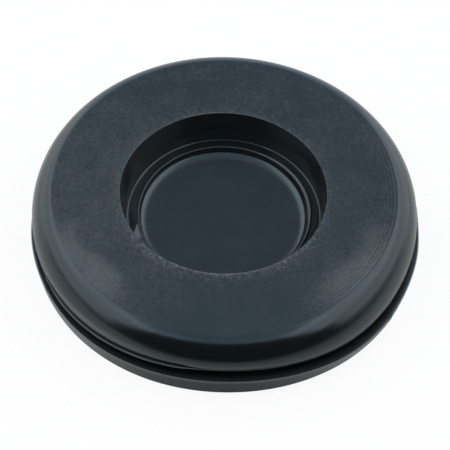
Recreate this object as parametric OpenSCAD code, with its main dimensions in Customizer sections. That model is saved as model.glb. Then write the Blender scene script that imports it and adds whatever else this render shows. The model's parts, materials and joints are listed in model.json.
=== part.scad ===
// Closed rubber grommet: a moulded plug that snaps into a round hole in sheet metal.
// A wide head flange shows on the front, a back flange of about the same size grips
// behind the sheet, and a thin membrane at the bottom of a round recess closes the middle.
// The whole part is one moulding, round about the Z axis. Z = 0 is the face it rests on.

/* [Head flange] */
// Diameter of the head flange at its widest, along the lower edge
head_d = 40.7; // [37:0.1:44]
// Thickness of the head flange
head_t = 3.65; // [3.6:0.05:4.4]
// Radius that rolls the flat top over
shoulder_r = 1.8; // [1.2:0.1:2]
// How far that roll turns before the slower bulge of the rim takes over, in degrees
shoulder_turn = 50; // [48:1:60]
// Radius of the bulge that carries the rim down to its lower edge
bulge_r = 4.45; // [3.4:0.05:4.5]
// Radius of the thin parting lip along the rim's lower edge
lip_r = 0.12; // [0.05:0.01:0.2]

/* [Panel groove] */
// Diameter of the hole in the sheet
panel_hole_d = 30; // [27:0.5:32]
// Thickness of the sheet
panel_t = 1.2; // [0.9:0.1:2]
// Slack across the thickness of the sheet
panel_slack = 0.1; // [0.05:0.05:0.3]
// Slack between the neck and the edge of the hole
neck_slack = 0.1; // [0:0.05:0.5]

/* [Back flange] */
// Diameter of the back flange
back_d = 40.9; // [37:0.1:44]
// Thickness of the back flange
back_t = 2.3; // [2:0.05:3]
// Radius on the edge that faces the sheet
back_edge_r = 0.25; // [0.1:0.05:0.8]
// Radius on the edge that meets the table
foot_edge_r = 0.6; // [0.3:0.05:0.9]

/* [Recess] */
// Diameter of the mouth in the flat top
mouth_d = 21.15; // [20:0.05:24]
// Angle at which the wall leans in, in degrees
wall_draft = 4; // [1:0.5:6]
// Depth from the flat top down to the ledge
ledge_depth = 3.75; // [3.2:0.05:4]
// Radius where the wall meets the ledge
wall_foot_r = 0.45; // [0.1:0.05:0.6]
// Diameter of the small step down to the membrane
step_d = 17.45; // [15:0.05:18]
// Radius of the raised bead around the step
bead_r = 0.3; // [0.1:0.05:0.4]
// Depth from the ledge down to the membrane
floor_drop = 0.7; // [0.5:0.05:0.9]
// Radius of the membrane's turned-up edge
floor_edge_r = 1.7; // [0.8:0.1:2.5]
// How far that edge turns up before it meets the step, in degrees
floor_turn = 30; // [10:1:40]

/* [Membrane and underside] */
// Thickness of the membrane
membrane_t = 1.2; // [0.6:0.1:1.8]
// Diameter of the shallow hollow in the underside
under_d = 20; // [14:0.5:26]

/* [Hidden] */
$fn = 180;

rubber_black = [0.13, 0.15, 0.17];

head_r = head_d / 2;
back_r = back_d / 2;
neck_r = panel_hole_d / 2 - neck_slack;
groove_w = panel_t + panel_slack;

// Heights above the rest face
groove_low = back_t;
groove_high = groove_low + groove_w;
top = groove_high + head_t;
ledge_z = top - ledge_depth;
floor_z = ledge_z - floor_drop;
under_z = floor_z - membrane_t;

// Radius at which the flat top ends and the roll of the shoulder begins
flat_r = head_r - bulge_r + (bulge_r - shoulder_r) * sin(shoulder_turn);

// The recess wall, leaning in from the mouth to the ledge
mouth_r = mouth_d / 2;
wall_low_r = mouth_r - ledge_depth * tan(wall_draft);
step_r = step_d / 2;

// How far a cutting shape runs past the face it opens
past = 1;
// How far the wall's foot bites into the wall, so that no sliver is left where they touch
bite = 0.001;

// The head flange, with the thin lip that the mould leaves on its lower edge
module head_section() {
    difference() {
        translate([0, groove_high])
            square([head_r + past, head_t]);
        translate([flat_r, top - shoulder_r])
            rotate(-shoulder_turn)
                rim_waste();
    }
    translate([head_r, groove_high + lip_r])
        circle(r = lip_r);
    translate([head_r - lip_r, groove_high])
        square(lip_r);
}

// What lies outside the rim, seen from the roll's centre along the ray on which the roll
// and the bulge touch: the bulge is on one side of that ray, the roll on the other
module rim_waste() {
    reach = bulge_r + head_t;
    bulge_below = bulge_r - shoulder_r;
    difference() {
        translate([0, -bulge_below])
            square(reach);
        translate([0, -bulge_below])
            circle(r = bulge_r);
    }
    difference() {
        polygon([[0, 0], [0, reach], [-reach * sin(shoulder_turn), reach * cos(shoulder_turn)]]);
        circle(r = shoulder_r);
    }
}

// The back flange: a disc whose upper edge is eased and whose foot is rounded
module back_section() {
    difference() {
        square([back_r, back_t]);
        translate([back_r - back_edge_r, back_t - back_edge_r])
            corner_waste(back_edge_r);
        translate([back_r - foot_edge_r, foot_edge_r])
            mirror([0, 1])
                corner_waste(foot_edge_r);
    }
}

// What is taken off a square corner to leave it round
module corner_waste(round_r) {
    difference() {
        square(round_r + past);
        circle(r = round_r);
    }
}

// The neck that fills the hole in the sheet, and runs on into both flanges
module neck_section() {
    translate([0, groove_low - past])
        square([neck_r, groove_w + 2 * past]);
}

// The wide part of the recess, down to the ledge
module recess_waste() {
    over_r = mouth_r + past * tan(wall_draft);
    difference() {
        polygon([[0, ledge_z], [wall_low_r, ledge_z], [over_r, top + past], [0, top + past]]);
        wall_foot_fill();
        bead_section();
    }
}

// The hollow between the leaning wall and the ledge: an arc that touches both
module wall_foot_fill() {
    lean = tan(wall_draft);
    centre_r = wall_low_r + wall_foot_r * (lean - 1 / cos(wall_draft)) + bite;
    touch_z = ledge_z + wall_foot_r * (1 - sin(wall_draft));
    difference() {
        translate([centre_r, ledge_z])
            square([wall_foot_r + past, touch_z - ledge_z]);
        translate([centre_r, ledge_z + wall_foot_r])
            circle(r = wall_foot_r);
    }
}

// The raised bead, which runs straight into the step's wall
module bead_section() {
    translate([step_r + bead_r, ledge_z])
        circle(r = bead_r);
}

// The small step down to the membrane, whose edge turns up before it meets the wall
module step_waste() {
    bend_r = step_r - floor_edge_r * sin(floor_turn);
    corner_z = floor_z + floor_edge_r * (1 - cos(floor_turn));
    translate([0, floor_z])
        square([bend_r, top - floor_z]);
    translate([0, corner_z])
        square([step_r, top - corner_z]);
    intersection() {
        translate([0, floor_z])
            square([step_r, top - floor_z]);
        translate([bend_r, floor_z + floor_edge_r])
            circle(r = floor_edge_r);
    }
}

// The shallow hollow below the membrane
module under_waste() {
    translate([0, -past])
        square([under_d / 2, under_z + past]);
}

// Half of the grommet as it looks sawn through the middle
module half_section() {
    difference() {
        union() {
            head_section();
            neck_section();
            back_section();
        }
        recess_waste();
        step_waste();
        under_waste();
    }
}

module grommet() {
    color(rubber_black)
        rotate_extrude()
            half_section();
}

grommet();
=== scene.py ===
# %% [markdown]
# # A closed rubber grommet
#
# The real part is one piece of black rubber, pressed in a steel mould. It is a plug for a round
# hole in sheet metal: a wide head flange that shows, a groove that holds the sheet, and a back
# flange behind it. A thin membrane closes the middle, at the bottom of a round recess. Nearly
# all of its shape is one outline turned about one axis, so that is how it is made here. The
# life is in what departs from that: the thin flash that the mould leaves on its edges, the tool
# marks in the flat top, and the dull grain of the rubber.

# %% Load the frame
import bpy
import json
import math
import numpy as np
from mathutils import Matrix, Vector


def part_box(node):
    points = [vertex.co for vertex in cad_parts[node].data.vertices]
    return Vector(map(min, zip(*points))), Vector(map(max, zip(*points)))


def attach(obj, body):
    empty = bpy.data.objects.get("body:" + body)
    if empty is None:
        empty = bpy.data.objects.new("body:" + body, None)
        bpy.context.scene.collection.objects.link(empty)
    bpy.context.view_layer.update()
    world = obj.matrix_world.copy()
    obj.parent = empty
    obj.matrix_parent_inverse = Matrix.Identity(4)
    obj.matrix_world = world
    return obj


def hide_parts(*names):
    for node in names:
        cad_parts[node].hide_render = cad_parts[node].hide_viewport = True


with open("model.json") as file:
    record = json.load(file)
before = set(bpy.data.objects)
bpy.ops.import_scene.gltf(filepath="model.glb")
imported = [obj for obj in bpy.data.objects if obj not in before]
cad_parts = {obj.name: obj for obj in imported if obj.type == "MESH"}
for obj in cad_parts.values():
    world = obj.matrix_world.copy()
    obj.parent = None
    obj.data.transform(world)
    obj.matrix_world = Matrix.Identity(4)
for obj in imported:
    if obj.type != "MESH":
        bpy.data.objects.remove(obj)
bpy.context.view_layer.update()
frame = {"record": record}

# %% [markdown]
# ## Where things are
#
# The frame says how tall the grommet is, how far its widest edge reaches, and at what heights the
# groove and the membrane lie. The rest are the sizes of the section, in millimetres. Working in
# millimetres keeps the numbers readable, and one factor turns them into Blender's metres when the
# mesh is made.

# %% Sizes
MM = 0.001
mounts = {mount["name"]: mount for mount in frame["record"]["mounts"]}
low_corner, high_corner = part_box("grommet")

top = high_corner.z / MM
groove_mid = mounts["panel_groove"]["pos_m"][2] / MM
floor_z = mounts["cable_entry"]["pos_m"][2] / MM
groove_w = 1.3
head_seat, back_seat = groove_mid + groove_w / 2, groove_mid - groove_w / 2

head_r, flat_r, bulge_r = 20.32, 18.05, 3.8
crease, shoulder_turn = math.radians(14), math.radians(50)
lip_r = high_corner.x / MM
lip_t, lip_round_r = 0.24, 0.07
neck_r, root_r = 14.9, 0.1
back_r, back_edge_r, foot_edge_r = 20.45, 0.14, 0.45
mouth_r, wall_draft, wall_foot_r = 10.575, math.radians(4), 0.17
step_r, bead_r, floor_edge_r, floor_turn = 8.725, 0.22, 1.6, math.radians(30)
ledge_z = floor_z + 0.7
under_r, under_corner_r, membrane_t = 10.0, 0.1, 1.2
print(f"height {top:.2f}, back flange {2 * back_r:.1f} across, groove {head_seat - back_seat:.2f} wide")

# %% [markdown]
# ## The outline
#
# Saw the grommet in half and its edge is a chain of straight runs and arcs. Each helper below
# returns the points of one link as pairs of radius and height. Where a run meets an arc, a few
# rows sit close together, because Blender blends the shading between neighbouring rows: close
# rows keep that blend from leaking over a wide flat face.

# %% Links of the outline
def run(start, end, step, guard=0.03):
    """A straight run: points spaced evenly from start to end, with a close row inside each end."""
    start, end = np.array(start, float), np.array(end, float)
    length = np.hypot(*(end - start))
    along = np.linspace(0, length, max(2, int(np.ceil(length / step)) + 1))
    if length > 4 * guard:
        along = np.unique(np.concatenate([along, [guard, length - guard]]))
    return start + (end - start) * (along / length)[:, None]


def bend(centre, radius, start_deg, end_deg, count):
    """An arc: centre plus radius times the cosine and sine of evenly spaced angles."""
    angle = np.radians(np.linspace(start_deg, end_deg, count))
    return np.array(centre) + radius * np.stack([np.cos(angle), np.sin(angle)], axis=1)


# %% [markdown]
# ## The recess
#
# A round core in the mould formed the recess. From the middle outwards come the flat membrane,
# its turned-up edge, a small step with a bead round its top, a ledge, and a wall that leans
# outwards by four degrees, so that the core could be drawn out. Each is one link of the chain.

# %% The recess, from the centre of the membrane out to its mouth
bend_r = step_r - floor_edge_r * math.sin(floor_turn)
corner_z = floor_z + floor_edge_r * (1 - math.cos(floor_turn))
wall_low_r = mouth_r - (top - ledge_z) * math.tan(wall_draft)
foot_centre = (wall_low_r + wall_foot_r * (math.tan(wall_draft) - 1 / math.cos(wall_draft)),
               ledge_z + wall_foot_r)
lip_edge = 0.05

membrane_top = run((0, floor_z), (bend_r, floor_z), 0.55)
turned_up = bend((bend_r, floor_z + floor_edge_r), floor_edge_r, -90, -60, 9)
step_wall = run((step_r, corner_z), (step_r, ledge_z), 0.12)
bead = bend((step_r + bead_r, ledge_z), bead_r, 180, 12, 13)
ledge = run((step_r + 2 * bead_r, ledge_z), (foot_centre[0], ledge_z), 0.2)
wall_foot = bend(foot_centre, wall_foot_r, -90, -math.degrees(wall_draft), 10)
wall = run(wall_foot[-1], (mouth_r - 0.004, top - lip_edge), 0.5)
mouth_edge = bend((mouth_r + lip_edge, top - lip_edge), lip_edge, 176, 90, 5)
recess = [membrane_top, turned_up, step_wall, bead, ledge, wall_foot, wall, mouth_edge]
print("recess rows:", sum(len(link) for link in recess))

# %% [markdown]
# ## The head flange
#
# The flat top breaks over a soft crease into a rolled shoulder, which passes into a slower bulge
# where both arcs point the same way. The shoulder's radius follows from that: it is the width
# left for it, divided by the difference of two sines. The rows lie closest where the burrs and
# the tool marks will be.

# %% The head flange, from the mouth over the shoulder to the lip
bulge_centre_r = head_r - bulge_r
shoulder_out = bulge_centre_r + bulge_r * math.sin(shoulder_turn) - flat_r
shoulder_r = shoulder_out / (math.sin(shoulder_turn) - math.sin(crease))
shoulder_centre = (flat_r - shoulder_r * math.sin(crease), top - shoulder_r * math.cos(crease))
bulge_centre = (bulge_centre_r, shoulder_centre[1] + (shoulder_r - bulge_r) * math.cos(shoulder_turn))
bulge_low_z = head_seat + lip_t + 0.02
bulge_end_deg = math.degrees(math.asin((bulge_low_z - bulge_centre[1]) / bulge_r))

near_mouth = run((mouth_r + lip_edge, top), (mouth_r + 0.7, top), 0.09)
flat_top = run((mouth_r + 0.7, top), (16.2, top), 0.4)
tooled_top = run((16.2, top), (flat_r, top), 0.05)
shoulder = bend(shoulder_centre, shoulder_r, 90 - math.degrees(crease), 90 - math.degrees(shoulder_turn), 16)
bulge = bend(bulge_centre, bulge_r, 90 - math.degrees(shoulder_turn), bulge_end_deg, 22)
lip_top = run((head_r - 0.05, head_seat + lip_t), (lip_r - lip_round_r, head_seat + lip_t), 0.05)
lip_outer = bend((lip_r - lip_round_r, head_seat + lip_t - lip_round_r), lip_round_r, 90, 0, 5)
lip_lower = bend((lip_r - lip_round_r, head_seat + lip_round_r), lip_round_r, 0, -90, 5)
head = [near_mouth, flat_top, tooled_top, shoulder, bulge, lip_top, lip_outer, lip_lower]
print(f"head rows: {sum(len(link) for link in head)}, shoulder radius {shoulder_r:.2f}, bulge {bulge_r:.2f}")

# %% [markdown]
# ## The groove and the back flange
#
# The sheet's edge sits in a narrow groove between the two flanges, and the neck at its root is a
# little smaller than the hole. Below it the back flange is a plain disc, with an eased upper edge
# and a rounded foot.

# %% The groove and the back flange
head_under = run((lip_r - lip_round_r, head_seat), (neck_r + root_r, head_seat), 1.0)
upper_root = bend((neck_r + root_r, head_seat - root_r), root_r, 90, 180, 6)
neck = run((neck_r, head_seat - root_r), (neck_r, back_seat + root_r), 0.3)
lower_root = bend((neck_r + root_r, back_seat + root_r), root_r, 180, 270, 6)
back_top = run((neck_r + root_r, back_seat), (back_r - back_edge_r, back_seat), 0.8)
back_edge = bend((back_r - back_edge_r, back_seat - back_edge_r), back_edge_r, 90, 0, 9)
back_side = run((back_r, back_seat - back_edge_r), (back_r, foot_edge_r), 0.25)
foot_edge = bend((back_r - foot_edge_r, foot_edge_r), foot_edge_r, 0, -90, 9)
back = [head_under, upper_root, neck, lower_root, back_top, back_edge, back_side, foot_edge]
print("groove and back flange rows:", sum(len(link) for link in back))

# %% [markdown]
# ## The underside
#
# The grommet rests on a flat ring, and a shallow round hollow under the membrane keeps the rubber
# there thin. The chain ends on the axis again, so the outline is closed. Where two links share a
# point, only one of the two is kept.

# %% The underside, in to the centre again
under_z = floor_z - membrane_t
rest_face = run((back_r - foot_edge_r, 0), (under_r, 0), 1.2)
under_wall = run((under_r, 0), (under_r, under_z - under_corner_r), 0.3)
under_corner = bend((under_r - under_corner_r, under_z - under_corner_r), under_corner_r, 0, 90, 7)
membrane_low = run((under_r - under_corner_r, under_z), (0, under_z), 0.8)
underside = [rest_face, under_wall, under_corner, membrane_low]

links = recess + head + back + underside
outline = np.concatenate(links)
keep = np.concatenate([[True], np.hypot(*np.diff(outline, axis=0).T) > 1e-4])
outline = outline[keep]
print("rows in the whole outline:", len(outline))

# %% [markdown]
# ## Turning the outline
#
# The outline swung about the Z axis gives a grid: one row for each point of the outline, one
# column for each angle. The perfect shape comes first. What makes it a moulding rather than a
# drawing is added afterwards, as small moves of those same points.

# %% Turn it
columns = 200000 // (2 * len(outline)) - 6
turn = np.arange(columns) * 2 * np.pi / columns
row_r, row_z = outline[:, 0], outline[:, 1]
radius = np.repeat(row_r[:, None], columns, axis=1)
height = np.repeat(row_z[:, None], columns, axis=1)
around = np.repeat(turn[None, :], len(outline), axis=0)
print("grid:", radius.shape)

# %% [markdown]
# ## Chance that closes on itself
#
# Nothing on soft rubber repeats exactly. Waves that go a whole number of times round the circle
# meet their own start without a seam, and a seed for each set of waves gives the same grommet
# every time. Two smaller helpers say where on the circle, or across it, something happens.

# %% Random ripples that close on themselves
def ripple(seed, slowest, fastest, shape=turn, twist=0.0):
    """A sum of cosine waves that go a whole number of times round, at random strengths and phases.

    twist adds to each wave's phase a random shift of up to twist either way; the result has a mean square of
    one.
    """
    dice = np.random.default_rng(seed)
    total = np.zeros_like(shape)
    power = 0.0
    for waves in range(slowest, fastest + 1):
        strength = dice.uniform(0.3, 1.0)
        lean = twist * dice.uniform(-1, 1)
        total += strength * np.cos(waves * shape + dice.uniform(0, 2 * np.pi) + lean)
        power += strength ** 2 / 2
    return total / math.sqrt(power)


def stretch(centre_deg, half_deg, soft_deg):
    """One over a stretch of the circle, half_deg to each side of its centre, with soft ends."""
    off = np.abs((np.degrees(turn) - centre_deg + 180) % 360 - 180)
    return 0.5 - 0.5 * np.tanh((off - half_deg) / (2 * soft_deg))


def band(value, low, high, soft):
    """One between low and high, and fading to nothing over the distance soft outside them."""
    return np.clip((value - low) / soft + 1, 0, 1) * np.clip((high - value) / soft + 1, 0, 1)

# %% [markdown]
# ## The flat top
#
# The steel plate that shaped the flat top was turned on a lathe, and the rubber copied its fine
# tool marks: a few faint rings just inside the shoulder. The face itself isn't quite flat
# either, because rubber shrinks unevenly as it cools. Both are a few hundredths of a millimetre,
# and both show only in the sheen.

# %% Tool marks and a slow unevenness
on_top = (row_z > top - 1e-4)[:, None] & (row_r > mouth_r)[:, None]
marks = np.zeros_like(radius)
for mark_r, depth, width, seed in [(16.75, 0.008, 0.06, 1), (17.13, 0.016, 0.06, 2),
                                   (17.44, 0.018, 0.06, 3), (17.86, 0.020, 0.07, 4)]:
    fading = 0.45 + 0.35 * np.cos(turn) + 0.2 * ripple(seed, 1, 7)
    marks += depth * fading * np.exp(-((radius - mark_r) / width) ** 2)
height -= np.where(on_top, marks, 0)
slow = ripple(11, 2, 5, around, 2.0) * np.sin((radius - mouth_r) / (flat_r - mouth_r) * np.pi)
height += np.where(on_top, 0.012 * slow, 0)
print(f"deepest tool mark {marks.max():.3f} mm")

# %% [markdown]
# ## Flash
#
# Where two halves of the mould meet, a little rubber creeps between them. Round the mouth it
# was torn off by hand and left a ragged edge. Only the crests of a fine random ripple become
# burrs, which point inwards and up.

# %% Ragged burrs round the mouth
at_mouth = np.exp(-(np.hypot(radius - mouth_r - lip_edge, height - top) / 0.09) ** 2)
burr = np.clip(ripple(21, 24, 150) * (0.8 + 0.35 * ripple(22, 1, 9)) - 0.55, 0, 2.2)
radius -= at_mouth * 0.035 * burr
height += at_mouth * 0.022 * burr
print(f"{(burr > 0.8).mean():.0%} of the mouth carries a burr")

# %% [markdown]
# ## The parting lip
#
# Under the head's rim the rubber that crept out forms a thin lip. It was trimmed almost away,
# apart from a short stretch at the front left, which is whole, and a few nibs that the blade
# missed. Above the whole stretch the rim is slightly hollow, and elsewhere its corner is eased.

# %% The lip under the rim, whole and trimmed
in_lip = ((row_r > head_r + 1e-4) & (row_z < head_seat + lip_t + 0.01)
          & (row_z > head_seat - 0.01))[:, None]
whole = stretch(235, 26, 2)
lip_left = np.clip(whole * (0.92 + 0.06 * ripple(31, 3, 60)), 0.06, 1.0)
nibs = sum(size * stretch(centre, half, soft) for size, centre, half, soft in [
    (1.1, 326.5, 0.35, 0.15), (0.5, 338, 0.3, 0.15), (0.7, 208, 0.5, 0.2),
    (0.6, 197, 0.4, 0.2), (0.5, 187, 0.5, 0.2)])
lip_left = np.minimum(lip_left + nibs, 1.2)
radius = np.where(in_lip, head_r + (radius - head_r) * lip_left, radius)
low_rim = (row_r > head_r - 0.7) & (row_z > head_seat - 0.01)
eased = 0.07 * np.exp(-((row_z - head_seat) / 0.18) ** 2) * low_rim
hollow_z = head_seat + lip_t + 0.15
above_lip = low_rim * (row_r < head_r + 1e-4)
undercut = 0.10 * np.exp(-((row_z - hollow_z) / 0.30) ** 2) * above_lip
radius -= eased[:, None] * (1 - whole) + undercut[:, None] * whole
print(f"lip: from {lip_left.min():.2f} to {lip_left.max():.2f} of its full width")

# %% [markdown]
# ## A soft part is never quite round
#
# Thin rubber flanges don't stay as true as the mould that made them. Here the head's rim curls up
# a little at the front and droops on either side of that. The back flange's upper edge stands out
# a little nearly all round, most at the front right, and is pressed in at the front. These moves
# are largest along the thin edges and hardly anything where the rubber is thick. The halves of
# the mould were not quite in line either, so the recess sits a little to one side and the back
# flange a little to the other.

# %% Bend the rims and set the halves out of line
def bump(centre_deg, width_deg):
    """One at centre_deg and falling away on both sides of it like a bell, round the circle."""
    off = (np.degrees(turn) - centre_deg + 180) % 360 - 180
    return np.exp(-(off / width_deg) ** 2)


def bumps(*parts):
    """The sum of several bells, each given as its height in millimetres, its centre and its width."""
    return sum(size * bump(centre_deg, width_deg) for size, centre_deg, width_deg in parts)


front, right, left = (270, 22), (313, 20), (225, 20)
is_head, is_back = row_z > head_seat - 0.01, row_z < back_seat + 0.01
roll_end, bulge_end = shoulder_centre[1] + shoulder_r * math.cos(shoulder_turn), bulge_centre[1]
thinness = np.clip((row_r - neck_r) / (head_r - neck_r), 0, 1)
on_head = is_head * thinness * np.clip((roll_end - row_z) / (roll_end - bulge_end), 0, 1)
on_edge = is_back * thinness * np.clip(row_z / back_seat, 0, 1)
on_foot = is_back * thinness - on_edge

head_press = bumps((-0.10, *front), (0.17, *right), (0.10, *left), (-0.04, 240, 14),
                   (-0.10, 5, 20), (-0.05, 145, 12), (0.06, 85, 50))
edge_press = 0.24 + bumps((-0.32, *front), (0.42, *right), (0.19, *left),
                          (-0.16, 0, 9), (-0.10, 178, 9), (0.10, 325, 1.2))
foot_press = bumps((-0.12, *front), (0.05, *right), (0.05, *left)) - 0.06
radius += on_head[:, None] * head_press + on_edge[:, None] * edge_press + on_foot[:, None] * foot_press
head_curl = bumps((0.48, *front), (-0.33, *right), (-0.19, *left))
height += on_head[:, None] * head_curl + on_edge[:, None] * 0.16 * bump(340, 16)

head_out = np.clip((row_r - mouth_r) / (flat_r - mouth_r), 0, 1)
back_out = np.clip((row_r - mouth_r) / (neck_r - mouth_r), 0, 1)
rim_out = np.clip((row_r - flat_r) / (head_r - flat_r), 0, 1)
aside = np.where(is_head, -0.15 + 0.11 * head_out + 0.10 * rim_out, -0.15 + 0.31 * back_out)
ahead = np.where(is_head, 0.10 * head_out - 0.03 * rim_out, 0)
print(f"the head's rim curls by {head_curl.min():.2f} to {head_curl.max():.2f} mm")
print(f"the back flange's upper edge moves by {edge_press.min():.2f} to {edge_press.max():.2f} mm")

# %% [markdown]
# ## Inside the recess
#
# The core that formed the recess was hand made, and it shows. Its wall stands a little askew,
# the mouth is slightly wider from left to right than from front to back, and the ledge falls
# away towards the wall. The wall's lean grows with depth, from nothing at the mouth.

# %% Set the recess wall askew
bead_out = step_r + 2 * bead_r
in_wall = (row_r > bead_out) & (row_r < mouth_r) & (row_z > ledge_z - 0.01) & (row_z < top - 0.1)
depth_share = np.clip((top - row_z) / (top - ledge_z), 0, 1)
ledge_share = np.clip((row_r - bead_out) / (foot_centre[0] - bead_out), 0, 1)
askew = depth_share * ledge_share * in_wall

foot_w = (0.03 + 0.05 * np.abs(np.cos(turn)))[None, :]
in_foot = ((row_r >= foot_centre[0] - 1e-6) & (row_r < mouth_r)
           & (row_z < ledge_z + wall_foot_r) & (row_z > ledge_z - 1e-6))[:, None]
up_foot = np.clip((row_r - foot_centre[0]) / (wall_low_r - foot_centre[0]), 0, 1)[:, None]
radius = np.where(in_foot, wall_low_r - foot_w * (1 - up_foot), radius)
height = np.where(in_foot, ledge_z + 0.6 * foot_w * up_foot, height)
radius -= 0.08 * askew[:, None]
aside += 0.12 * askew
ahead -= 0.06 * askew
height -= askew[:, None] * (0.24 + 0.04 * np.cos(turn) - 0.10 * bump(207, 13))
mouth_oval = 0.22
at_edge = np.exp(-((row_r - mouth_r) / 0.5) ** 2) * is_head * (row_z > ledge_z + 0.5)
radius += mouth_oval * at_edge[:, None] * np.cos(turn) ** 2
print(f"slope at the foot of the wall: {foot_w.min():.2f} to {foot_w.max():.2f} mm wide")

# %% [markdown]
# ## The step around the membrane
#
# The membrane's die sat a little towards the front. It left a narrow slope around the membrane,
# and on the right a wider one with a crest. The membrane itself is slightly dished, as thin rubber
# sinks when it cools, and its turned-up edge is flatter than the arc of the outline.

# %% Slope and crest around the membrane
crest_side = stretch(5, 42, 14)
lean, slope_w, drop_w = 0.13 + 0.15 * crest_side, 0.12 + 0.18 * crest_side, 0.13
in_floor = (row_r <= step_r + 1e-6) & (row_z < corner_z + 0.01) & (row_z > floor_z - 0.01)
in_step = (np.abs(row_r - step_r) < 1e-6) & (row_z > corner_z + 0.01) & (row_z < ledge_z + 1e-6)
climb = np.clip((row_z - corner_z) / (ledge_z - corner_z), 0, 1) * in_step
ahead -= 0.12 * np.where(in_floor, 1.0, in_step * (1 - climb))
radius += climb[:, None] * lean
sag = 0.08 * (row_r / bend_r) ** 6 - 0.08 - 0.3 * (row_z - floor_z)
height += np.where(in_floor, sag, in_step * (1 - climb) * sag[in_floor][-1])[:, None]

in_bead = ((row_r >= step_r - 1e-6) & (row_r <= bead_out + 1e-6)
           & (row_z > ledge_z + 1e-6) & (row_z < ledge_z + bead_r + 0.01))[:, None]
inner_half = np.clip((row_r - step_r) / bead_r, 0, 1)[:, None]
outer_half = np.clip((row_r - step_r - bead_r) / bead_r, 0, 1)[:, None]
round_z = (row_z - ledge_z)[:, None] * 0.25
sloped_z = bead_r * inner_half * (1 - outer_half)
radius = np.where(in_bead, step_r + lean + inner_half * slope_w + outer_half * drop_w, radius)
height = np.where(in_bead, ledge_z + round_z * (1 - crest_side) + sloped_z * crest_side, height)
in_ledge = (row_r >= bead_out - 1e-6) & (row_r < foot_centre[0]) & (np.abs(row_z - ledge_z) < 1e-6)
radius += ((1 - ledge_share) * in_ledge)[:, None] * (step_r + lean + slope_w + drop_w - bead_out)
print(f"step around the membrane: {slope_w.min():.2f} to {slope_w.max():.2f} mm wide")

# %% [markdown]
# ## Closing the surface
#
# Each grid cell becomes a four-sided face. The first and last rows have no radius, so each of
# them shrinks to one point at the axis with a fan of triangles around it. That closes the body
# at both poles, and the whole grommet is one watertight skin.

# %% Make the mesh
def turned_mesh(name, radius, height, turn, aside, ahead):
    """Points at radius times cosine and sine of the turn, faces between rows, a fan at each pole.

    aside moves each row along X, and ahead along Y.
    """
    rows, count = radius.shape
    inner = slice(1, rows - 1)
    across = radius * np.cos(turn) + aside[:, None]
    along = radius * np.sin(turn) + ahead[:, None]
    points = np.stack([across, along, height], axis=2)[inner]
    first = [aside[0], ahead[0], height[0].mean()]
    last = [aside[-1], ahead[-1], height[-1].mean()]
    points = np.concatenate([points.reshape(-1, 3), [first, last]]) * MM
    index = np.arange((rows - 2) * count).reshape(rows - 2, count)
    beside = np.roll(index, -1, axis=1)
    quads = np.stack([index[:-1], index[1:], beside[1:], beside[:-1]], axis=2).reshape(-1, 4)
    pole, foot = len(points) - 2, len(points) - 1
    cap = np.stack([np.full(count, pole), index[0], beside[0]], axis=1)
    base = np.stack([np.full(count, foot), beside[-1], index[-1]], axis=1)
    mesh = bpy.data.meshes.new(name)
    mesh.from_pydata(points.tolist(), [], quads.tolist() + cap.tolist() + base.tolist())
    mesh.update()
    mesh.shade_smooth()
    made = bpy.data.objects.new(name, mesh)
    bpy.context.collection.objects.link(made)
    return made


grommet = turned_mesh("moulded_grommet", radius, height, turn, aside, ahead)
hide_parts("grommet")
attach(grommet, "root")
faces = grommet.data.polygons
print("faces:", len(faces), "triangles:", sum(len(face.vertices) - 2 for face in faces))

# %% [markdown]
# ## Where the finish changes
#
# Several finishes meet on this one piece. The flat top is dull and grainy, because its mould
# plate was left as turned. The shoulder and the recess are smoother, apart from the membrane,
# which is as dull as the top but has hardly any grain. At the front the side of the back flange
# is dull too. The flat top is paler in uneven patches, and its front is painted darker as painted
# shade. A thin pale bloom, which rubber sweats out as it ages, stays in the groove and on the
# recess wall, where nothing rubs it off. The edge of the mouth, the thin edges of the flash and two
# places low on the bulge carry painted highlights, and the edge of the membrane a painted
# reflection. One number for each point, kept as an attribute of the mesh, tells the material how
# much there is of each, so that a change falls exactly on the edge where the real one does.

# %% Mark the finishes on the mesh
def mark(made, name, value):
    """Stores one number for each point of the turned mesh: the grid's inner rows, then its two poles."""
    value = value * np.ones_like(around)
    inner = value[1:-1].reshape(-1)
    numbers = np.concatenate([inner, [value[0].mean(), value[-1].mean()]]).astype(np.float32)
    made.data.attributes.new(name, "FLOAT", "POINT").data.foreach_set("value", numbers)


def beyond(edge_r, soft_r):
    """Nothing inside edge_r and one outside it, with a soft change."""
    return 1 / (1 + np.exp(-(radius - edge_r) / soft_r))


plate = np.where(on_top, band(radius, mouth_r, flat_r - 0.02, 0.03), 0)
membrane = np.where((row_z < floor_z + 0.25) & (row_r < step_r) & (row_z > under_z + 0.1), 1.0, 0.0)[:, None]
mark(grommet, "plate", plate)
on_wall = (in_wall & (row_z > ledge_z + 0.8 * wall_foot_r))[:, None]
on_ledge = ((np.abs(row_z - ledge_z) < 0.01) & (row_r > step_r) & (row_r < mouth_r))[:, None]
on_rim = ((row_r > flat_r + 0.3) & is_head)[:, None]
down_rim = np.clip((bulge_centre[1] + 0.6 - row_z) / 1.2, 0, 1)[:, None]
groove_rows = ((row_z > back_seat - 0.01) & (row_z < head_seat + 0.01) & (row_r < head_r - 0.02))[:, None]
on_side = (is_back & (row_r > back_r - 0.1) & (row_z < back_seat - 0.05))[:, None]
rim_dull = (0.13 * down_rim - 0.02 - 0.07 * stretch(270, 42, 8)) * on_rim
side_dull = 0.22 * on_side * stretch(270, 22, 6)
mark(grommet, "dull", 0.08 * plate - 0.06 * on_wall - 0.08 * on_ledge + 0.11 * membrane
     - 0.14 * groove_rows + side_dull + rim_dull)
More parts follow.
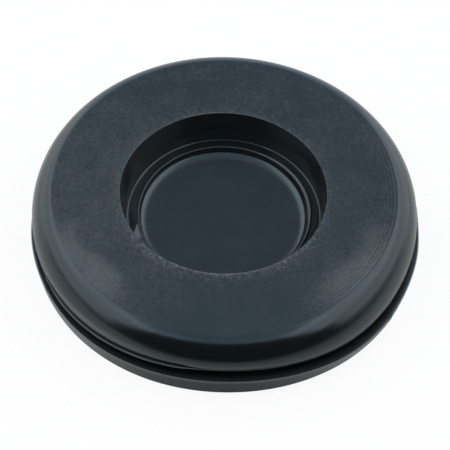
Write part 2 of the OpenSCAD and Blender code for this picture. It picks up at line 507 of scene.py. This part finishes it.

# %% [markdown]
# ## Pale patches, painted shade and painted highlights
#
# The flat top is paler in patches, and two of them end in a wandering line. Its front is painted
# darker, as painted shade. Bloom also stays in the groove and on the recess wall. Painted
# highlights lie along the edge of the mouth, on the lip, along the back flange's upper edge and on
# two places low on the bulge. A painted reflection lightens the outer edge of the membrane, and the
# ledge is a little paler. All of it is added up to one number for each point: the share of pale
# over the black. A second number says where the edge of the mouth is frayed, and will carry flecks.

# %% Pale patches, painted shade and painted highlights
wander = 0.35 * ripple(41, 3, 14, around, 3.0)
# Paler patches on the flat top; the last term paints its front darker, as painted shade.
patches_and_front_shade = (0.007 * stretch(188, 50, 7) + 0.030 * stretch(216, 17, 2) * beyond(15.6 + wander, 0.25)
           + 0.039 * stretch(325, 18, 4) * beyond(15.4 + wander, 0.45)
           - 0.009 * stretch(275, 24, 7) * beyond(14.5, 1.0))
round_mouth = 0.012 * np.exp(-np.abs(radius - mouth_r) / 0.6)
top_paleness_and_shade = np.where(on_top, plate * (0.0015 + patches_and_front_shade + round_mouth) * (1 - marks / marks.max()), 0)

wall_rows = ((row_r < mouth_r - 0.01) & (row_z > ledge_z + 0.02))[:, None]
kept_bloom = 0.009 * wall_rows * np.clip(np.sin(turn), 0, 1) ** 2 + 0.003 * groove_rows

# A painted highlight along the edge of the mouth, strongest at the front right.
mouth_painted_highlight = 0.05 * np.exp(-(np.hypot(radius - mouth_r - 0.05, height - top) / 0.10) ** 2)
mouth_painted_highlight *= 0.3 + 0.7 * stretch(300, 75, 15)
low_bulge = (row_r > 20.0) & (row_r < head_r + 1e-4)
# Two painted highlights low on the bulge, at the front left and the front right.
left_bulge_highlight = 0.060 * np.exp(-((row_z - 4.75) / 0.30) ** 2)[:, None] * stretch(228, 17, 5)
right_bulge_highlight = 0.035 * np.exp(-((row_z - 4.3) / 0.25) ** 2)[:, None] * stretch(322, 14, 5)
bulge_painted_highlights = (left_bulge_highlight + right_bulge_highlight) * low_bulge[:, None]
# Painted highlights: a pale line along the lip, and a paler one along the back flange's upper edge.
lip_painted_highlight = 0.03 * in_lip * lip_left
seam_painted_highlight = 0.11 * np.exp(-(np.hypot(row_r - back_r + 0.04, row_z - back_seat + 0.04) / 0.10) ** 2)[:, None]
# A painted reflection: the membrane grows paler towards its turned-up edge.
ring_start = 6.4
membrane_edge_reflection = np.clip((row_r - ring_start) / (step_r - ring_start), 0, 1)[:, None] ** 2
# One share of pale: pale patches and bloom, with painted highlights, a painted reflection and painted shade.
pale_and_painted_light = (top_paleness_and_shade + kept_bloom + mouth_painted_highlight + bulge_painted_highlights + lip_painted_highlight + seam_painted_highlight
         + (0.0003 + 0.006 * membrane_edge_reflection) * membrane + 0.004 * on_ledge)
mark(grommet, "pale_and_painted_light", pale_and_painted_light)

frayed = np.exp(-((radius - mouth_r) / 0.9) ** 2) * on_top
frayed = frayed * (0.35 + stretch(222, 26, 6) + stretch(312, 22, 6) + 0.4 * stretch(270, 30, 8))
mark(grommet, "frayed", np.clip(frayed, 0, 1))
print(f"bloom: up to {pale_and_painted_light.max():.3f}, frayed: {(frayed > 0.5).mean():.0%} of the points")

# %% [markdown]
# ## The rubber
#
# Black rubber is almost black in itself. What is seen is mostly a soft, faintly blue reflection
# of the light above it, broken up by grain. So the colour is very dark, and the work goes into
# roughness and bump: a fine grain all over, coarser on the flat top, slow changes of dullness
# where hands and talc have been, and pale flecks where the edge of the mouth is frayed.

# %% Small helpers for nodes
def new_material(name):
    """An empty material with a Principled shader wired to its output, and object coordinates."""
    made = bpy.data.materials.new(name)
    made.use_nodes = True
    nodes, links = made.node_tree.nodes, made.node_tree.links
    nodes.clear()
    out = nodes.new("ShaderNodeOutputMaterial")
    shader = nodes.new("ShaderNodeBsdfPrincipled")
    links.new(shader.outputs["BSDF"], out.inputs["Surface"])
    place = nodes.new("ShaderNodeTexCoord").outputs["Object"]
    return made, nodes, links, shader, place


def noise(nodes, links, place, size_mm, detail=3.0, roughness=0.5):
    """Noise whose blotches are about size_mm across."""
    made = nodes.new("ShaderNodeTexNoise")
    made.inputs["Scale"].default_value = 1 / (size_mm * MM)
    made.inputs["Detail"].default_value = detail
    made.inputs["Roughness"].default_value = roughness
    links.new(place, made.inputs["Vector"])
    return made.outputs["Fac"]


def spread(nodes, links, value, low, high, to_low, to_high):
    """Maps low..high to to_low..to_high, and holds it inside those ends."""
    made = nodes.new("ShaderNodeMapRange")
    for name, number in zip(("From Min", "From Max", "To Min", "To Max"), (low, high, to_low, to_high)):
        made.inputs[name].default_value = number
    links.new(value, made.inputs["Value"])
    return made.outputs["Result"]


def sum_of(nodes, links, operation, first, second):
    """One arithmetic node; a number or a socket may stand on either side."""
    made = nodes.new("ShaderNodeMath")
    made.operation = operation
    for socket, value in zip(made.inputs, (first, second)):
        if isinstance(value, (int, float)):
            socket.default_value = value
        else:
            links.new(value, socket)
    return made.outputs[0]


# %% [markdown]
# ## One material for all of it
#
# The refractive index is 1.52, as for most rubber, and the reflection has a faintly blue tint. Four
# noises in object coordinates, each with blotches of a true size in millimetres, make the grain,
# the mottling and the flecks. The numbers stored on the mesh say how much there is of each.

# %% Black rubber
rubber, nodes, links, shader, place = new_material("moulded_rubber")
shader.inputs["IOR"].default_value = 1.52
shader.inputs["Specular Tint"].default_value = (0.74, 0.92, 1.0, 1)


def mesh_number(name):
    """The number that mark() stored under this name."""
    made = nodes.new("ShaderNodeAttribute")
    made.attribute_name = name
    return made.outputs["Fac"]


def times(first, second):
    """first times second."""
    return sum_of(nodes, links, "MULTIPLY", first, second)


def plus(first, second):
    """first plus second."""
    return sum_of(nodes, links, "ADD", first, second)


on_plate, pale_and_light_here, frayed_here = mesh_number("plate"), mesh_number("pale_and_painted_light"), mesh_number("frayed")
fine = noise(nodes, links, place, 0.16, 2.0, 0.6)
grain = noise(nodes, links, place, 0.34, 2.0, 0.5)
blotches = noise(nodes, links, place, 3.0, 4.0, 0.6)
flecks = noise(nodes, links, place, 0.36, 2.0, 0.6)

# %% [markdown]
# ## How dull
#
# Roughness runs from 0.26 to 0.31 in slow blotches, and the stored number is added to it. Dull
# places blur the reflection of the tent, and the smoother walls keep its edges.

# %% How dull
dull = spread(nodes, links, blotches, 0.35, 0.65, 0.26, 0.31)
dull = plus(dull, mesh_number("dull"))
links.new(dull, shader.inputs["Roughness"])

# %% [markdown]
# ## What colour
#
# The stored share of pale mixes two colours: nearly black rubber, and a warm white. That share
# holds pale patches and bloom, and also painted highlights, a painted reflection and painted shade.
# A little mottling lies on the flat top, flecks are strewn where the edge is frayed, and a few are
# stray.

# %% What colour
mottle = plus(times(spread(nodes, links, grain, 0.3, 0.7, -1.0, 1.0), 0.0085),
              times(spread(nodes, links, blotches, 0.3, 0.7, -1.0, 1.0), 0.003))
strewn = times(spread(nodes, links, flecks, 0.47, 0.65, 0.0, 0.040), frayed_here)
stray = times(spread(nodes, links, flecks, 0.72, 0.80, 0.0, 0.03), on_plate)
paleness = plus(plus(pale_and_light_here, times(mottle, on_plate)), plus(strewn, stray))
tone = nodes.new("ShaderNodeMix")
tone.data_type = "RGBA"
links.new(paleness, tone.inputs["Factor"])
tone.inputs["A"].default_value = (0.0030, 0.0037, 0.0042, 1)
tone.inputs["B"].default_value = (1.0, 0.97, 0.96, 1)
links.new(tone.outputs["Result"], shader.inputs["Base Color"])

# %% [markdown]
# ## How rough to the eye
#
# Grain this fine would take millions of faces, so it is a bump in the material: it turns the
# shading and leaves the mesh alone. It is strong on the flat top and weak elsewhere.

# %% How rough to the eye
grain_depth = 0.016
graining = nodes.new("ShaderNodeBump")
graining.inputs["Distance"].default_value = grain_depth * MM
relief = plus(plus(times(fine, 0.5), grain), times(flecks, frayed_here))
strength = plus(times(on_plate, 0.75), 0.12)
links.new(strength, graining.inputs["Strength"])
links.new(relief, graining.inputs["Height"])
links.new(graining.outputs["Normal"], shader.inputs["Normal"])
grommet.data.materials.append(rubber)
print("rubber nodes:", len(nodes))

# %% [markdown]
# ## Floor and light
#
# The grommet lies on white paper in a light tent: a box of white cloth, lit from outside, with
# its front left open for the camera. The paper is white to the camera, with the grommet's shadow
# on it. In reflections it is darker, and there it fades to nearly nothing towards the open front.

# %% Lay the paper
def flat_sheet(name, half, front_y):
    """A flat face that reaches half to either side and to the back, and front_y to the front."""
    mesh = bpy.data.meshes.new(name)
    corners = [(-half, front_y, 0), (half, front_y, 0), (half, half, 0), (-half, half, 0)]
    mesh.from_pydata(corners, [], [(0, 1, 2, 3)])
    made = bpy.data.objects.new(name, mesh)
    bpy.context.collection.objects.link(made)
    return made


paper_half, paper_front_y, paper_gap = 1.5, -0.055, 0.00002
paper = flat_sheet("paper_floor", paper_half, paper_front_y)
paper.location.z = low_corner.z - paper_gap
white, nodes, links, shader, place = new_material("white_paper")
shader.inputs["Base Color"].default_value = (0.70, 0.69, 0.655, 1)
shader.inputs["Roughness"].default_value = 0.9
shader.inputs["Specular IOR Level"].default_value = 0.1

# %% [markdown]
# ## White to the camera
#
# Paper lit like this would come out grey. A share of plain glow is mixed in where the camera, or
# a ray that has passed through something clear, looks at it. The rest still takes the shadow. A
# smaller share is mixed in for reflections, and light that bounces from the paper isn't changed.

# %% Show the paper white to the camera, darker in reflections
glow = nodes.new("ShaderNodeEmission")
glow.inputs["Color"].default_value = (1, 1, 1, 1)
rays = nodes.new("ShaderNodeLightPath")
mixed = nodes.new("ShaderNodeMixShader")
white_share, mirrored_share = 0.91, 0.20
direct = sum_of(nodes, links, "ADD", rays.outputs["Is Camera Ray"], rays.outputs["Is Transmission Ray"])
seen = sum_of(nodes, links, "MULTIPLY", direct, white_share)
mirrored = sum_of(nodes, links, "MULTIPLY", rays.outputs["Is Glossy Ray"], mirrored_share)
links.new(sum_of(nodes, links, "ADD", seen, mirrored), mixed.inputs["Fac"])
links.new(shader.outputs["BSDF"], mixed.inputs[1])
links.new(glow.outputs["Emission"], mixed.inputs[2])

# %% [markdown]
# ## Dark towards the front
#
# The distance towards the front, measured a little askew, is one number at each place on the
# paper. Between two values of it the reflection fades to almost black, and the paper itself
# stays as it is.

# %% Fade the paper's reflection towards the front
fade_from, fade_to, fade_most = -0.053, -0.024, 0.92
to_front = nodes.new("ShaderNodeVectorMath")
to_front.operation = "DOT_PRODUCT"
to_front.inputs[1].default_value = (-0.3, 1, 0)
links.new(place, to_front.inputs[0])
fade = spread(nodes, links, to_front.outputs["Value"], fade_from, fade_to, fade_most, 0.0)
dark = nodes.new("ShaderNodeEmission")
dark.inputs["Strength"].default_value = 0
faded = nodes.new("ShaderNodeMixShader")
links.new(sum_of(nodes, links, "MULTIPLY", fade, rays.outputs["Is Glossy Ray"]), faded.inputs["Fac"])
links.new(mixed.outputs["Shader"], faded.inputs[1])
links.new(dark.outputs["Emission"], faded.inputs[2])
links.new(faded.outputs["Shader"], nodes["Material Output"].inputs["Surface"])
paper.data.materials.append(white)
print("paper nodes:", len(nodes))

# %% [markdown]
# ## The tent
#
# A lamp that fills a rectangle stands for each stretch of cloth. The side walls are the brightest.
# Each is cut into four bands by height and into a back and a front part, and its front edge
# leans forward as it rises. The dark opening between the front edges is what draws the black band
# along the rim, and the walls draw the light at either end of it.

# %% A soft box
def soft_box(name, middle, facing, wide, tall, level, colour=(1, 1, 1)):
    """A rectangular lamp; its power is pi times its area times the level, so level is its brightness."""
    lamp = bpy.data.lights.new(name, "AREA")
    lamp.shape = "RECTANGLE"
    lamp.size, lamp.size_y = wide, tall
    lamp.energy = math.pi * wide * tall * level
    lamp.color = colour
    made = bpy.data.objects.new(name, lamp)
    made.location = middle
    direction = np.array(facing, float) - np.array(middle, float)
    made.rotation_euler = Vector(direction).to_track_quat("-Z", "Y").to_euler()
    made.visible_camera = False
    bpy.context.collection.objects.link(made)
    return made


# %% [markdown]
# ## The side walls
#
# The list of levels runs from the floor up. The steeper a place on the rim, the lower the band
# that it mirrors. So the lowest front band is kept dim and the bands above it brighter, and the
# light on the rim falls off towards the groove.

# %% The side walls
tall = 0.60
heights = [0, 0.05, 0.20, 0.42, tall]
levels = {"back": [1.7, 1.85, 2.75, 2.3], "front": [0.5, 1.85, 2.15, 2.7]}
front_ys = {-1: [-0.235, -0.235, -0.29, -0.36], 1: [-0.19, -0.19, -0.28, -0.36]}
back_corner, front_x = np.array([0.17, 0.34]), 0.32
wall_colour, top_colour, back_colour = (1.0, 1.0, 1.03), (0.80, 1.0, 1.20), (0.72, 1.0, 1.30)
lamps = []
for name, side in (("tent_left", -1), ("tent_right", 1)):
    bands = zip(heights, heights[1:], front_ys[side], levels["back"], levels["front"])
    for low, high, front_y, back_level, front_level in bands:
        along = (np.array([front_x, front_y]) - back_corner) / 2
        mid_z = (low + high) / 2
        for part, share, level in (("back", 0.5, back_level), ("front", 1.5, front_level)):
            middle = back_corner + along * share
            inward = middle + np.array([along[1], -along[0]])
            lamps.append(soft_box(f"{name}_{part}_{mid_z:.2f}", (side * middle[0], middle[1], mid_z),
                                  (side * inward[0], inward[1], mid_z), np.hypot(*along), high - low,
                                  level, wall_colour))
print("lamps in the side walls:", len(lamps))

# %% [markdown]
# ## The top and the back of the tent
#
# The camera sees the upper part of the back wall mirrored in the flat face. So that wall is dim
# and a little blue, and the face looks dark. The top is a grid of two rows by three, and lights
# the rubber from above.

# %% The top and the back
for name, mid_y, deep, row_levels in (("front", -0.28, 0.24, (1.35, 1.0, 1.1)),
                                      ("back", 0.10, 0.52, (0.95, 0.80, 0.82))):
    for mid_x, wide, level in zip((-0.22, 0, 0.22), (0.20, 0.24, 0.20), row_levels):
        lamps.append(soft_box(f"tent_top_{name}_{mid_x:.2f}", (mid_x, mid_y, tall), (mid_x, mid_y, 0),
                              wide, deep, level, top_colour))
shade_z = 0.22
for name, from_z, to_z, level in (("tent_back_low", 0, shade_z, 0.9),
                                  ("tent_back_high", shade_z, tall, 0.42)):
    middle = (0, back_corner[1], (from_z + to_z) / 2)
    lamps.append(soft_box(name, middle, (0, 0, middle[2]), 2 * back_corner[0], to_z - from_z,
                          level, back_colour))
print("lamps in all:", len(lamps))

# %% [markdown]
# ## The world beyond the tent
#
# What lies past the tent is white where the camera looks at it, and nearly dark to everything
# else, so that it adds hardly any light to the rubber and leaves the open front dark.

# %% World
world = bpy.data.worlds.new("studio")
world.use_nodes = True
bpy.context.scene.world = world
sky = world.node_tree.nodes["Background"]
rays = world.node_tree.nodes.new("ShaderNodeLightPath")
nodes, links = world.node_tree.nodes, world.node_tree.links
direct = sum_of(nodes, links, "ADD", rays.outputs["Is Camera Ray"], rays.outputs["Is Transmission Ray"])
dim, bright = 0.08, 1.0
links.new(spread(nodes, links, direct, 0.0, 1.0, dim, bright), sky.inputs["Strength"])
sky.inputs["Color"].default_value = (1, 1, 1, 1)
print("world strength:", dim, "to light and reflections,", bright, "to the camera")

# %% [markdown]
# ## The camera
#
# The camera looks down at the grommet from the front at a little over fifty degrees, from a
# little over four times its width away, through a long lens, so that near and far edges differ
# only a little in size. It is turned about its own line of sight by less than two degrees. Its
# three axes are worked out as vectors and put straight into its matrix.

# %% Camera
rise, roll, distance = math.radians(53.17), math.radians(1.78), 0.180
aim = Vector((0.00011, -0.00447, high_corner.z))
back_way = Vector((0, -math.cos(rise), math.sin(rise)))
upright = Vector((0, math.sin(rise), math.cos(rise)))
sideways = Vector((1, 0, 0))
lens = bpy.data.cameras.new("camera")
lens.sensor_width, lens.lens = 36, 140.35
lens.clip_start, lens.clip_end = 0.01, 20
camera = bpy.data.objects.new("camera", lens)
bpy.context.collection.objects.link(camera)
x_axis = sideways * math.cos(roll) + upright * math.sin(roll)
y_axis = upright * math.cos(roll) - sideways * math.sin(roll)
turned = Matrix((x_axis, y_axis, back_way)).transposed().to_4x4()
camera.matrix_world = Matrix.Translation(aim + back_way * distance) @ turned
bpy.context.scene.camera = camera
bpy.context.scene.view_settings.view_transform = "Standard"
print(f"lens {lens.lens:.0f} mm, {distance:.3f} m away, {math.degrees(rise):.1f} degrees up")
